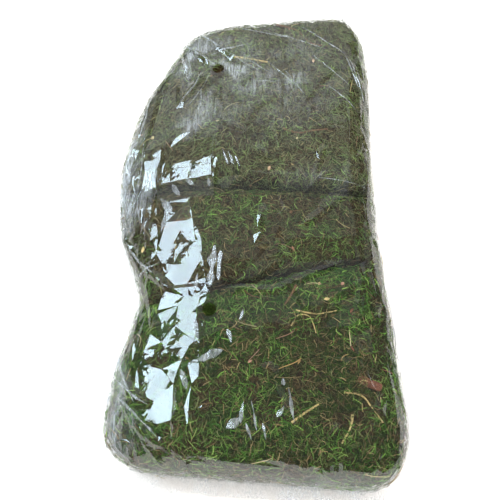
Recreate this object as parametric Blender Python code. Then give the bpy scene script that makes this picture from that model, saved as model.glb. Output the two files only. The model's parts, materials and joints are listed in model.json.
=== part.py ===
"""A bale of green sheet moss in a clear polythene bag, lying on its back on a table.

The moss is five mats, three side by side on top of two, as they are laid into the bag.
Dry stems, twigs, needles and a flake of bark lie loose between the moss and the film.
Metres, +Z up, +Y towards the head of the bag, +X to its right. The origin is on the table,
under the middle of the bag.

Run with: blender --background --python part.py
"""

import math
from typing import NamedTuple

import bmesh
import bpy
from mathutils import Matrix, Vector, noise
from mathutils.bvhtree import BVHTree

# Heights above the table.
LOWER_MATS_Z = (0.0055, 0.0400)
UPPER_MATS_Z = (0.0420, 0.0790)
BAG_Z = (-0.0060, 0.0880)  # the underside is then pressed flat at TABLE_Z
TABLE_Z = 0.0
CROWN, CROWN_HALF = 0.007, 0.118  # the top lies this much lower this far from its middle
SHOULDER_X = -0.040  # left of this line the bale thins, and its top slopes down
SHOULDER_SLOPE = math.tan(math.radians(13))
SHOULDER_EASE = 0.012  # half the width over which the flat top turns into the slope

# The bag in plan: (y, left edge x, right edge x).
BAG_EDGES = (
    (-0.240, -0.113, 0.111),
    (-0.205, -0.121, 0.115),
    (-0.165, -0.118, 0.113),
    (-0.125, -0.106, 0.112),
    (-0.095, -0.099, 0.110),
    (-0.070, -0.108, 0.109),
    (-0.040, -0.122, 0.107),
    (0.000, -0.129, 0.109),
    (0.040, -0.131, 0.110),
    (0.085, -0.123, 0.112),
    (0.120, -0.112, 0.115),
    (0.150, -0.096, 0.116),
    (0.180, -0.080, 0.116),
    (0.212, -0.064, 0.108),
)
MOSS_INSET = 0.0075  # how far inside the bag's edges the moss stops, in plan
MOSS_EDGES = tuple((y, left + MOSS_INSET, right - MOSS_INSET) for y, left, right in BAG_EDGES)


class Line(NamedTuple):
    """A line across the bale, y = start + slope * x, where a mat or the bag ends."""

    start: float
    slope: float
    inset: float  # how far short of the line a mat stops
    rounding: float  # how far along Y the edge there is rounded

    def y(self, x):
        return self.start + self.slope * x


HEAD_GAP = Line(-0.0020, -0.05, 0.0050, 0.004)
FOOT_GAP = Line(-0.0920, 0.20, 0.0012, 0.004)
UNDER_GAP = Line(0.0080, 0.0, 0.0012, 0.004)
FOOT_END = Line(-0.2335, -0.08, 0.0, 0.016)
HEAD_END = Line(0.2015, 0.15, 0.0, 0.016)
BAG_FOOT = Line(-0.2425, -0.08, 0.0, 0.034)
BAG_HEAD = Line(0.2105, 0.15, 0.0, 0.034)

MAT_ROUND = (0.020, 0.015)  # how far a mat's edges are rounded along X and Z
BAG_ROUND = (0.030, 0.036)
SKEW_ROUNDS = 3  # a slanted end moves a point along the outline, so its place is found in rounds
MAT_CUTS = (9, 9, 3)
EDGE_DRAW = 1.35  # how strongly the cuts are drawn towards a block's edges
BAG_CUTS = (11, 27, 5)
MAT_LUMP, MAT_LUMP_SIZE = 0.0026, 0.030
BAG_LUMP, BAG_LUMP_SIZE = 0.0010, 0.040
DIP_DEPTH, DIP_WIDTH = 0.0024, 0.014  # how the film sinks over a gap between the mats

FILM = 0.0004
VENT_RADIUS, VENT_SIDES = 0.0055, 24
CUTTER_LENGTH = 0.3
VENTS = ((-0.036, 0.128), (-0.037, -0.122))  # punched through both walls of the bag
SEAL_WIDTHS = {"foot": 0.196, "head": 0.150}
SEAL_DEPTH, SEAL_THICK = 0.015, 0.0008
SEAL_Z, SEAL_SLOPE = 0.036, math.radians(38)
SEAL_BITE = 0.0016  # how far a seal's inner edge reaches into the wall

LOOSE_GAP = 0.0026  # what lies loose is held this far off the mats by their shoots

# What lies loose on the moss: name, material, radius, and the way it runs in plan.
STEMS = (
    ("straw_head", "straw", 0.0012, ((-0.022, 0.147), (-0.006, 0.144), (0.012, 0.139))),
    (
        "twig_head",
        "twig",
        0.0011,
        ((0.021, 0.192), (0.042, 0.184), (0.056, 0.166), (0.073, 0.163)),
    ),
    (
        "twig_middle",
        "twig",
        0.0012,
        ((0.024, 0.057), (0.038, 0.052), (0.050, 0.055), (0.066, 0.058)),
    ),
    ("twig_slot", "twig", 0.0010, ((-0.080, -0.042), (-0.066, -0.036), (-0.050, -0.034))),
    (
        "needle_curled",
        "straw",
        0.0007,
        ((0.026, -0.134), (0.032, -0.125), (0.041, -0.127), (0.045, -0.140)),
    ),
    ("needle_straight", "straw", 0.0007, ((0.030, -0.121), (0.046, -0.124), (0.062, -0.121))),
    (
        "straw_bent",
        "straw",
        0.0008,
        ((0.063, -0.185), (0.076, -0.187), (0.083, -0.196), (0.090, -0.206)),
    ),
    ("straw_foot", "straw", 0.0010, ((0.024, -0.207), (0.034, -0.200), (0.044, -0.194))),
    ("straw_chip", "straw", 0.0010, ((0.068, -0.201), (0.066, -0.210), (0.059, -0.221))),
    ("twig_foot", "twig", 0.0011, ((0.031, -0.100), (0.027, -0.108), (0.021, -0.117))),
)
STEM_TAPER = 0.35  # how much thinner a stem is at its far end
STEM_STEPS = 4  # points read off the smooth curve for each stretch between two named points
BARK_MIDDLE, BARK_TURN = (0.083, -0.178), math.radians(-24)
BARK_SIZE, BARK_CORNER = (0.018, 0.0065, 0.0016), 0.0019

# name: (colour, roughness, alpha)
FINISHES = {
    "moss": ((0.045, 0.085, 0.022), 0.90, 1.0),
    "moss_old": ((0.055, 0.060, 0.026), 0.90, 1.0),
    "film": ((0.90, 0.94, 0.96), 0.08, 0.15),
    "straw": ((0.50, 0.40, 0.20), 0.60, 1.0),
    "twig": ((0.17, 0.105, 0.065), 0.75, 1.0),
    "bark": ((0.155, 0.085, 0.065), 0.85, 1.0),
}


def material(name):
    """The named finish as a Principled BSDF material, made once."""
    made = bpy.data.materials.get(name)
    if made:
        return made
    colour, roughness, alpha = FINISHES[name]
    made = bpy.data.materials.new(name)
    made.use_nodes = True
    shader = made.node_tree.nodes["Principled BSDF"]
    shader.inputs["Base Color"].default_value = (*colour, 1.0)
    shader.inputs["Roughness"].default_value = roughness
    shader.inputs["Metallic"].default_value = 0.0
    shader.inputs["Alpha"].default_value = alpha
    return made


def as_object(name, bm, finish, parent):
    """A named object from a bmesh, parented to the empty that carries everything."""
    bmesh.ops.recalc_face_normals(bm, faces=bm.faces)
    mesh = bpy.data.meshes.new(name)
    bm.to_mesh(mesh)
    bm.free()
    mesh.shade_smooth()
    mesh.materials.append(material(finish))
    made = bpy.data.objects.new(name, mesh)
    bpy.context.collection.objects.link(made)
    made.parent = parent
    return made


def edge_at(edges, y):
    """(left x, right x) of an outline at y, eased between its stations."""
    if y <= edges[0][0]:
        return edges[0][1:]
    for (y0, l0, r0), (y1, l1, r1) in zip(edges, edges[1:]):
        if y <= y1:
            t = (y - y0) / (y1 - y0)
            t = t * t * (3 - 2 * t)
            return l0 + (l1 - l0) * t, r0 + (r1 - r0) * t
    return edges[-1][1:]


def block(cuts):
    """A closed cube from -1 to 1 whose edges along X, Y and Z have these numbers of cuts."""
    bm = bmesh.new()
    bmesh.ops.create_cube(bm, size=2.0)
    for axis, count in enumerate(cuts):
        along = [
            e for e in bm.edges if abs(e.verts[0].co[axis] - e.verts[1].co[axis]) > 1.9
        ]
        bmesh.ops.subdivide_edges(bm, edges=along, cuts=count, use_grid_fill=True)
    for v in bm.verts:  # the rounding needs the cuts near the edges
        v.co = Vector([math.copysign(1 - (1 - abs(c)) ** EDGE_DRAW, c) for c in v.co])
    return bm


def rounded(p, half, radii):
    """A point on a box's surface, from -1 to 1, moved onto the box with rounded edges."""
    size = Vector([a * b for a, b in zip(p, half)])
    core = Vector([max(-h + r, min(h - r, s)) for s, h, r in zip(size, half, radii)])
    out = Vector([(s - c) / r for s, c, r in zip(size, core, radii)])
    if out.length < 1e-9:
        return p
    out.normalize()
    return Vector([(c + o * r) / h for c, o, r, h in zip(core, out, radii, half)])


def top_drop(x):
    """How much lower the top of the bale is at x than along its middle."""
    past = max(0.0, SHOULDER_X + SHOULDER_EASE - x)
    eased = past * past / (4 * SHOULDER_EASE)
    slope = past - SHOULDER_EASE if past > 2 * SHOULDER_EASE else eased
    return CROWN * (x / CROWN_HALF) ** 2 + SHOULDER_SLOPE * slope


def shape_block(bm, edges, near, far, z_range, radii, drop):
    """Bends a block into the space between two outline edges, two lines across and two heights."""
    low, high = z_range
    length = far.start - near.start
    left, right = edge_at(edges, (near.start + far.start) / 2)
    half = Vector(((right - left) / 2, length / 2, (high - low) / 2))
    for v in bm.verts:
        along = near.rounding if v.co.y < 0 else far.rounding
        u, w, h = rounded(v.co, half, (radii[0], along, radii[1]))
        y = near.start + length * (w + 1) / 2
        for _ in range(SKEW_ROUNDS):
            left, right = edge_at(edges, y)
            x = left + (right - left) * (u + 1) / 2
            y_near, y_far = near.y(x) + near.inset, far.y(x) - far.inset
            y = y_near + (y_far - y_near) * (w + 1) / 2
        z = low + (high - low) * (h + 1) / 2
        z -= drop(x) * (h + 1) / 2
        v.co = (x, y, z)


def lumps(bm, height, size, upwards, seed):
    """Pushes the outward-facing skin in and out by soft lumps; faces to a neighbour stay flat."""
    bm.normal_update()
    moves = []
    for v in bm.verts:
        open_side = min(1.0, max(0.0, v.normal.z * upwards) + abs(v.normal.x))
        offset = Vector((seed, 0, 0))
        moves.append(v.normal * noise.noise(v.co / size + offset) * height * open_side)
    for v, move in zip(bm.verts, moves):
        v.co += move


def moss_mat(name, near, far, z_range, upwards, finish, seed, parent):
    """One mat of moss. near and far are the gaps or ends that it lies between."""
    bm = block(MAT_CUTS)
    drop = top_drop if upwards > 0 else (lambda x: 0.0)
    shape_block(bm, MOSS_EDGES, near, far, z_range, MAT_ROUND, drop)
    lumps(bm, MAT_LUMP, MAT_LUMP_SIZE, upwards, seed)
    return as_object(name, bm, finish, parent)


def cutter(name, x, y, parent):
    """A pin through both walls of the bag, which punches a vent in each."""
    bm = bmesh.new()
    bmesh.ops.create_cone(
        bm,
        segments=VENT_SIDES,
        cap_ends=True,
        radius1=VENT_RADIUS,
        radius2=VENT_RADIUS,
        depth=CUTTER_LENGTH,
        matrix=Matrix.Translation((x, y, sum(BAG_Z) / 2)),
    )
    made = as_object(name, bm, "film", parent)
    made.hide_render = True
    made.display_type = "WIRE"
    return made


def end_seal(end, line, outwards, parent):
    """The welded strip across one end of the bag, drooping towards the table."""
    bm = bmesh.new()
    bmesh.ops.create_cube(bm, size=1.0)
    bmesh.ops.scale(bm, vec=(SEAL_WIDTHS[end], SEAL_DEPTH, SEAL_THICK), verts=bm.verts)
    bmesh.ops.translate(bm, vec=(0, outwards * (SEAL_DEPTH / 2), 0), verts=bm.verts)
    droop = Matrix.Rotation(-outwards * SEAL_SLOPE, 4, "X")
    middle = sum(edge_at(BAG_EDGES, line.start)) / 2
    place = Matrix.Translation((middle, line.y(middle) - outwards * SEAL_BITE, SEAL_Z))
    turn = Matrix.Rotation(math.atan(line.slope), 4, "Z")
    bmesh.ops.transform(bm, matrix=place @ turn @ droop, verts=bm.verts)
    made = as_object(f"seal_shape_{end}", bm, "film", parent)
    made.hide_render = True
    made.display_type = "WIRE"
    return made


def press_flat(bm):
    """The bag's underside lies on the table, and its top sinks over the gaps between the mats."""
    for v in bm.verts:
        if v.co.z > sum(BAG_Z) / 2:
            for line in (HEAD_GAP, FOOT_GAP):
                away = (v.co.y - line.y(v.co.x)) / DIP_WIDTH
                v.co.z -= DIP_DEPTH * math.exp(-away * away)
        v.co.z = max(v.co.z, TABLE_Z)


def bag_film(parent):
    """The bag: a thin skin round the whole bale, with vents and a welded strip at each end."""
    bm = block(BAG_CUTS)
    shape_block(bm, BAG_EDGES, BAG_FOOT, BAG_HEAD, BAG_Z, BAG_ROUND, top_drop)
    lumps(bm, BAG_LUMP, BAG_LUMP_SIZE, 1.0, 9.0)
    press_flat(bm)
    bag = as_object("bag_film", bm, "film", parent)
    wall = bag.modifiers.new("wall", "SOLIDIFY")
    wall.thickness = FILM
    wall.offset = -1.0
    for number, (x, y) in enumerate(VENTS):
        cut = bag.modifiers.new(f"vent_{number}", "BOOLEAN")
        cut.operation = "DIFFERENCE"
        cut.object = cutter(f"vent_cutter_{number}", x, y, parent)
    for end, line, outwards in (("foot", BAG_FOOT, -1), ("head", BAG_HEAD, 1)):
        join = bag.modifiers.new(f"seal_{end}", "BOOLEAN")
        join.operation = "UNION"
        join.object = end_seal(end, line, outwards, parent)
    return bag


def surface_reader(mats):
    """A function that gives the height of the top of the moss at (x, y)."""
    trees = []
    for mat in mats:
        bm = bmesh.new()
        bm.from_mesh(mat.data)
        trees.append(BVHTree.FromBMesh(bm))
        bm.free()

    def height(x, y):
        hits = [tree.ray_cast(Vector((x, y, 1.0)), Vector((0, 0, -1)))[0] for tree in trees]
        return max([hit.z for hit in hits if hit] or [LOWER_MATS_Z[1]])

    return height


def smooth_route(points):
    """Points along a Catmull-Rom curve through the named points."""
    ends = [points[0], *points, points[-1]]
    route = []
    for a, b, c, d in zip(ends, ends[1:], ends[2:], ends[3:]):
        for step in range(STEM_STEPS):
            t = step / STEM_STEPS
            route.append(
                tuple(
                    0.5
                    * (
                        2 * q
                        + (r - p) * t
                        + (2 * p - 5 * q + 4 * r - s) * t * t
                        + (3 * q - p - 3 * r + s) * t**3
                    )
                    for p, q, r, s in zip(a, b, c, d)
                )
            )
    return [*route, points[-1]]


def loose_stem(name, finish, radius, plan, height, parent):
    """A stem, twig or needle that lies along the top of the moss."""
    route = smooth_route(plan)
    heights = [height(x, y) for x, y in route]
    steps = len(route) - 1
    chord = [heights[0] + (heights[-1] - heights[0]) * i / steps for i in range(steps + 1)]
    bridge = max(h - c for h, c in zip(heights, chord))  # a dry stem is stiff
    curve = bpy.data.curves.new(name, "CURVE")
    curve.dimensions = "3D"
    curve.bevel_depth = radius
    curve.bevel_resolution = 1
    curve.use_fill_caps = True
    spline = curve.splines.new("POLY")
    spline.points.add(steps)
    for index, (point, (x, y)) in enumerate(zip(spline.points, route)):
        low, high = sorted((heights[index], chord[index] + bridge))
        point.co = (x, y, (low + high) / 2 + radius + LOOSE_GAP, 1.0)
        point.radius = 1.0 - STEM_TAPER * index / steps
    curve.materials.append(material(finish))
    made = bpy.data.objects.new(name, curve)
    bpy.context.collection.objects.link(made)
    made.parent = parent
    return made


def bark_flake(height, parent):
    """A flat flake of bark with worn corners, lying on the foot mat."""
    bm = bmesh.new()
    bmesh.ops.create_cube(bm, size=1.0)
    bmesh.ops.scale(bm, vec=BARK_SIZE, verts=bm.verts)
    upright = [e for e in bm.edges if abs(e.verts[0].co.z - e.verts[1].co.z) > 0.001]
    bmesh.ops.bevel(
        bm, geom=upright, offset=BARK_CORNER, segments=2, profile=0.5, affect="EDGES", material=-1
    )
    x, y = BARK_MIDDLE
    reach = BARK_SIZE[0] / 2
    level = max(
        height(x + reach * step * math.cos(BARK_TURN), y + reach * step * math.sin(BARK_TURN))
        for step in (-1, -0.5, 0, 0.5, 1)
    )
    place = Matrix.Translation((x, y, level + BARK_SIZE[2] / 2 + LOOSE_GAP))
    bmesh.ops.transform(bm, matrix=place @ Matrix.Rotation(BARK_TURN, 4, "Z"), verts=bm.verts)
    return as_object("bark_flake", bm, "bark", parent)


def centre_on_table(carrier, bag):
    """Moves everything so that the origin is under the middle of the bag, ends included."""
    bpy.context.view_layer.update()
    graph = bpy.context.evaluated_depsgraph_get()
    corners = [Vector(c) for c in bag.evaluated_get(graph).bound_box]
    for axis in (0, 1):
        side = [c[axis] for c in corners]
        carrier.location[axis] = -(min(side) + max(side)) / 2


def main():
    for obj in list(bpy.data.objects):
        bpy.data.objects.remove(obj)
    carrier = bpy.data.objects.new("bale", None)
    bpy.context.collection.objects.link(carrier)
    upper = [
        moss_mat("moss_head", HEAD_GAP, HEAD_END, UPPER_MATS_Z, 1, "moss", 1.0, carrier),
        moss_mat("moss_middle", FOOT_GAP, HEAD_GAP, UPPER_MATS_Z, 1, "moss_old", 2.0, carrier),
        moss_mat("moss_foot", FOOT_END, FOOT_GAP, UPPER_MATS_Z, 1, "moss", 3.0, carrier),
    ]
    moss_mat("moss_under_head", UNDER_GAP, HEAD_END, LOWER_MATS_Z, -1, "moss", 4.0, carrier)
    moss_mat("moss_under_foot", FOOT_END, UNDER_GAP, LOWER_MATS_Z, -1, "moss_old", 5.0, carrier)
    bag = bag_film(carrier)
    height = surface_reader(upper)
    for name, finish, radius, plan in STEMS:
        loose_stem(name, finish, radius, plan, height, carrier)
    bark_flake(height, carrier)
    centre_on_table(carrier, bag)


main()
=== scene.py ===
"""Looks of a bale of green sheet moss in a clear polythene bag, lying on its back.

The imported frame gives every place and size. The mats get a lumpy thatch and a coat of shoots,
the bag gets its folded film, and the dry bits that shed from the moss lie between the two.
Metres, +Z up, +Y towards the head of the bag.
"""

import itertools
import json
import logging
import math
from dataclasses import dataclass, replace
from enum import Enum
from typing import Any, Callable, Sequence

import bmesh
import bpy
import numpy as np
from mathutils import Matrix, Quaternion, Vector, noise
from mathutils.bvhtree import BVHTree


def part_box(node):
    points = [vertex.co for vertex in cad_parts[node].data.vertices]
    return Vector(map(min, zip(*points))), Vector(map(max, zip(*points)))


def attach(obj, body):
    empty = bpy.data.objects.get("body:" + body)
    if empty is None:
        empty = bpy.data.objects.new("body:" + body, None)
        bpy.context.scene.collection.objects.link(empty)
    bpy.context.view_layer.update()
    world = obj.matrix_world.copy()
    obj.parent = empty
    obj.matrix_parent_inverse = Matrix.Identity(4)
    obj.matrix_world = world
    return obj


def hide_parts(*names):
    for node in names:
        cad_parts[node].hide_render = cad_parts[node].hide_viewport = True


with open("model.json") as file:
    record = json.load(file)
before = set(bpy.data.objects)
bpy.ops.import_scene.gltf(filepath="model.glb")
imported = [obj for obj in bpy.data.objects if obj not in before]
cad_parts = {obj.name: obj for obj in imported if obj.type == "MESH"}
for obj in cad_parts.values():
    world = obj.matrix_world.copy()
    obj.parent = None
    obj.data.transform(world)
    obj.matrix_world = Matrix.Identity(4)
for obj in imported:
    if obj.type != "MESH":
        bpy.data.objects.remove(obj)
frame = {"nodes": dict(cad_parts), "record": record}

LOG = logging.getLogger("moss_bale")
MM = 0.001
BODY = "root"


# ---------------------------------------------------------------- small tools


def linear(code: str) -> tuple[float, float, float]:
    """Turns an sRGB hex colour into linear light.

    Args:
        code: six hex digits, such as "4f7a2a".

    Returns:
        Red, green and blue from 0 to 1.
    """
    parts = [int(code[i : i + 2], 16) / 255 for i in (0, 2, 4)]
    return tuple(c / 12.92 if c <= 0.04045 else ((c + 0.055) / 1.055) ** 2.4 for c in parts)


def add_node(
    tree: bpy.types.NodeTree, kind: str, *first: Any, settings: dict[str, Any] | None = None,
    stops: Sequence[tuple[float, str]] = (), inputs: dict[int, Any] | None = None, **named: Any,
) -> bpy.types.Node:
    """Adds a shader node, and sets or links its inputs. A node stands for its first output.

    Args:
        tree: the node tree.
        kind: the node's type, without its ShaderNode.
        first: its first inputs, in order.
        settings: its properties.
        stops: a colour ramp's places and sRGB colours.
        inputs: inputs by number.
        named: inputs by name, with _ for a space.

    Returns:
        The node.
    """
    node = tree.nodes.new(f"ShaderNode{kind}")
    for name, value in (settings or {}).items():
        setattr(node, name, value)
    while stops and len(node.color_ramp.elements) < len(stops):
        node.color_ramp.elements.new(0.5)
    for number, (place, code) in enumerate(stops):
        node.color_ramp.elements[number].position = place
        node.color_ramp.elements[number].color = (*linear(code), 1.0)
    spaced = {name.replace("_", " "): value for name, value in named.items()}
    for key, value in {**dict(enumerate(first)), **(inputs or {}), **spaced}.items():
        if isinstance(value, bpy.types.Node):
            value = value.outputs[0]
        if isinstance(value, bpy.types.NodeSocket):
            tree.links.new(value, node.inputs[key])
        else:
            node.inputs[key].default_value = value
    return node


def new_material(name: str) -> tuple[bpy.types.Material, bpy.types.NodeTree]:
    """Makes an empty node material.

    Args:
        name: the material's name.

    Returns:
        The material and its node tree.
    """
    material = bpy.data.materials.new(name)
    material.use_nodes = True
    material.node_tree.nodes.clear()
    return material, material.node_tree


def finish_surface(tree: bpy.types.NodeTree, shader: bpy.types.Node) -> None:
    """Links a shader to the material's output."""
    add_node(tree, "OutputMaterial", Surface=shader)


def new_piece(
    name: str, mesh: bpy.types.Mesh, materials: Sequence[bpy.types.Material]
) -> bpy.types.Object:
    """Makes an object at the origin from a mesh that is already in place.

    Args:
        name: the piece's name.
        mesh: its mesh, in the frame's metres.
        materials: its material slots.

    Returns:
        The object.
    """
    mesh.name = name
    mesh.materials.clear()
    for material in materials:
        mesh.materials.append(material)
    piece = bpy.data.objects.new(name, mesh)
    bpy.context.scene.collection.objects.link(piece)
    return piece


def evaluated(piece: bpy.types.Object) -> bpy.types.Mesh:
    """The piece's mesh with its modifiers applied, as a new mesh."""
    graph = bpy.context.evaluated_depsgraph_get()
    return bpy.data.meshes.new_from_object(piece.evaluated_get(graph))


def node_mesh(node: str) -> bmesh.types.BMesh:
    """A copy of a CAD node's mesh with its loose triangles merged."""
    bm = bmesh.new()
    bm.from_mesh(frame["nodes"][node].data)
    bmesh.ops.remove_doubles(bm, verts=bm.verts, dist=0.01 * MM)
    return bm


def voxel_skin(bm: bmesh.types.BMesh, voxel: float, smoothing: int) -> bpy.types.Mesh:
    """One even quad skin round a closed mesh.

    Args:
        bm: the closed mesh; it is freed.
        voxel: the skin's quad size.
        smoothing: rounds of smoothing afterwards.

    Returns:
        The skin.
    """
    carrier = new_piece("skin_carrier", to_mesh(bm, "skin"), ())
    skin = carrier.modifiers.new("skin", "REMESH")
    skin.mode = "VOXEL"
    skin.voxel_size = voxel
    smooth = carrier.modifiers.new("smooth", "SMOOTH")
    smooth.factor = 0.5
    smooth.iterations = smoothing
    made = evaluated(carrier)
    bpy.data.objects.remove(carrier)
    return made


def coordinates(mesh: bpy.types.Mesh) -> np.ndarray:
    """The mesh's vertices as rows of x, y and z."""
    flat = np.zeros(len(mesh.vertices) * 3, np.float32)
    mesh.vertices.foreach_get("co", flat)
    return flat.reshape(-1, 3).astype(float)


def vertex_normals(mesh: bpy.types.Mesh) -> np.ndarray:
    """The mesh's vertex normals as rows."""
    flat = np.zeros(len(mesh.vertices) * 3, np.float32)
    mesh.vertex_normals.foreach_get("vector", flat)
    return flat.reshape(-1, 3).astype(float)


def move_vertices(mesh: bpy.types.Mesh, points: np.ndarray) -> None:
    """Puts the mesh's vertices at the rows of x, y and z."""
    mesh.vertices.foreach_set("co", points.astype(np.float32).ravel())


def search_tree(mesh: bpy.types.Mesh) -> BVHTree:
    """A tree that finds the nearest place on a mesh."""
    return BVHTree.FromPolygons(
        coordinates(mesh).tolist(), [p.vertices[:] for p in mesh.polygons]
    )


def to_mesh(bm: bmesh.types.BMesh, name: str) -> bpy.types.Mesh:
    """Turns a bmesh into a named mesh and frees it."""
    mesh = bpy.data.meshes.new(name)
    bm.to_mesh(mesh)
    bm.free()
    return mesh


def unit(rows: np.ndarray) -> np.ndarray:
    """Rows scaled to length 1."""
    return rows / np.maximum(np.linalg.norm(rows, axis=-1, keepdims=True), 1e-12)


def lump_field(points: np.ndarray, size: float, seed: float, octaves: int = 1) -> np.ndarray:
    """Soft noise from about -1 to 1 at each point.

    Args:
        points: rows of x, y and z.
        size: the lumps' size.
        seed: picks another field.
        octaves: how many finer fields are added, each half as strong.

    Returns:
        One value a point.
    """
    scaled = points / size + seed * 17.3
    if octaves == 1:
        return np.array([noise.noise(Vector(p)) for p in scaled])
    return np.array([noise.fractal(Vector(p), 0.8, 2.0, octaves) for p in scaled])


def write_colours(mesh: bpy.types.Mesh, name: str, colours: np.ndarray) -> None:
    """Stores one linear colour for each vertex as a colour attribute."""
    layer = mesh.color_attributes.new(name, "FLOAT_COLOR", "POINT")
    rows = np.concatenate([colours, np.ones((len(colours), 1))], axis=1)
    layer.data.foreach_set("color", rows.astype(np.float32).ravel())


# ---------------------------------------------------------------- finishes

CLAMPED_SUM = {"operation": "MULTIPLY_ADD", "use_clamp": True}


@dataclass(frozen=True)
class ThatchFinish:
    """Old matted moss under the shoots: dark, brown and green, with no gloss at all; part of its
    darkness is painted shade between the shoots.
    """

    fresh: float  # how green it is, from 0 to 1
    clump: float = 22 * MM
    stem: float = 1.6 * MM  # moss stems are about a millimetre thick
    relief: float = 1.2 * MM

    def material(self) -> bpy.types.Material:
        """Builds the material."""
        material, tree = new_material(f"matted moss thatch {round(self.fresh * 100)}")
        place = add_node(tree, "TexCoord").outputs["Object"]
        clumps = add_node(
            tree, "TexNoise", Vector=place, Scale=1 / self.clump, Detail=3.0, Roughness=0.6
        )
        stems = add_node(
            tree, "TexNoise", Vector=place, Scale=1 / self.stem / 2, Detail=4.0, Roughness=0.7,
            Distortion=1.4,
        )
        # Painted shade: these stops are kept dark to deepen the shade between the shoots, on top of
        # the old moss's own browns and greens.
        green_stops = ((0.30, "10140a"), (0.46, "1f2b10"), (0.62, "33461b"), (0.78, "5a6a30"))
        brown_stops = ((0.30, "100d08"), (0.48, "2b2416"), (0.64, "4a3d28"), (0.80, "7a6a48"))
        greens = add_node(tree, "ValToRGB", stems, stops=green_stops)
        browns = add_node(tree, "ValToRGB", stems, stops=brown_stops)
        edge = 0.66 - 0.42 * self.fresh
        share = add_node(
            tree, "MapRange", settings={"interpolation_type": "SMOOTHSTEP"},
            Value=clumps, From_Min=edge, From_Max=edge + 0.20,
        )
        colour = add_node(
            tree, "Mix", settings={"data_type": "RGBA"}, inputs={0: share, 6: browns, 7: greens}
        )
        bump = add_node(tree, "Bump", Height=stems, Strength=0.9, Distance=self.relief)
        shader = add_node(
            tree, "BsdfPrincipled", Base_Color=colour.outputs[2], Roughness=0.95,
            Specular_IOR_Level=0.1, Normal=bump,
        )
        finish_surface(tree, shader)
        return material


@dataclass(frozen=True)
class ShootFinish:
    """Moss leaves one cell thick: matt, a little waxy, and lit from behind they glow."""

    name: str
    glow: float = 0.22  # share of light let through a leaf
    streak: float = 1.1 * MM

    def material(self) -> bpy.types.Material:
        """Builds the material, whose colour is each shoot's own attribute, painted shade included."""
        material, tree = new_material(self.name)
        own = add_node(tree, "Attribute", settings={"attribute_name": "shoot_colour"})
        place = add_node(tree, "TexCoord").outputs["Object"]
        grain = add_node(tree, "TexNoise", Vector=place, Scale=1 / self.streak, Detail=2.0)
        shade = add_node(tree, "MapRange", Value=grain, To_Min=0.55, To_Max=1.5)
        colour = add_node(tree, "VectorMath", own, settings={"operation": "SCALE"}, Scale=shade)
        leaf = add_node(
            tree, "BsdfPrincipled", Base_Color=colour, Roughness=0.6, Specular_IOR_Level=0.22
        )
        through = add_node(tree, "BsdfTranslucent", colour)
        finish_surface(tree, add_node(tree, "MixShader", self.glow, leaf, through))
        return material


@dataclass(frozen=True)
class DryFinish:
    """Dry straw, twig or bark: fibres run along it, dark in the grooves and worn pale."""

    name: str
    dark: str
    body: str
    pale: str
    roughness: float
    groove: float  # spacing of the fibres
    relief: float = 0.12 * MM

    def material(self) -> bpy.types.Material:
        """Builds the material."""
        material, tree = new_material(self.name)
        place = add_node(tree, "TexCoord").outputs["Object"]
        fibres = add_node(
            tree, "TexNoise", Vector=place, Scale=1 / self.groove, Detail=4.0, Roughness=0.65
        )
        blotches = add_node(tree, "TexNoise", Vector=place, Scale=1 / (self.groove * 9), Detail=2.0)
        fine_stops = ((0.30, self.dark), (0.50, self.body), (0.70, self.pale))
        fine = add_node(tree, "ValToRGB", fibres, stops=fine_stops)
        broad = add_node(tree, "ValToRGB", blotches, stops=((0.35, self.dark), (0.55, self.body)))
        colour = add_node(
            tree, "Mix", settings={"data_type": "RGBA"}, inputs={0: 0.35, 6: fine, 7: broad}
        )
        bump = add_node(tree, "Bump", Height=fibres, Strength=0.7, Distance=self.relief)
        shader = add_node(
            tree, "BsdfPrincipled", Base_Color=colour.outputs[2], Roughness=self.roughness,
            Normal=bump,
        )
        finish_surface(tree, shader)
        return material


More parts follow.
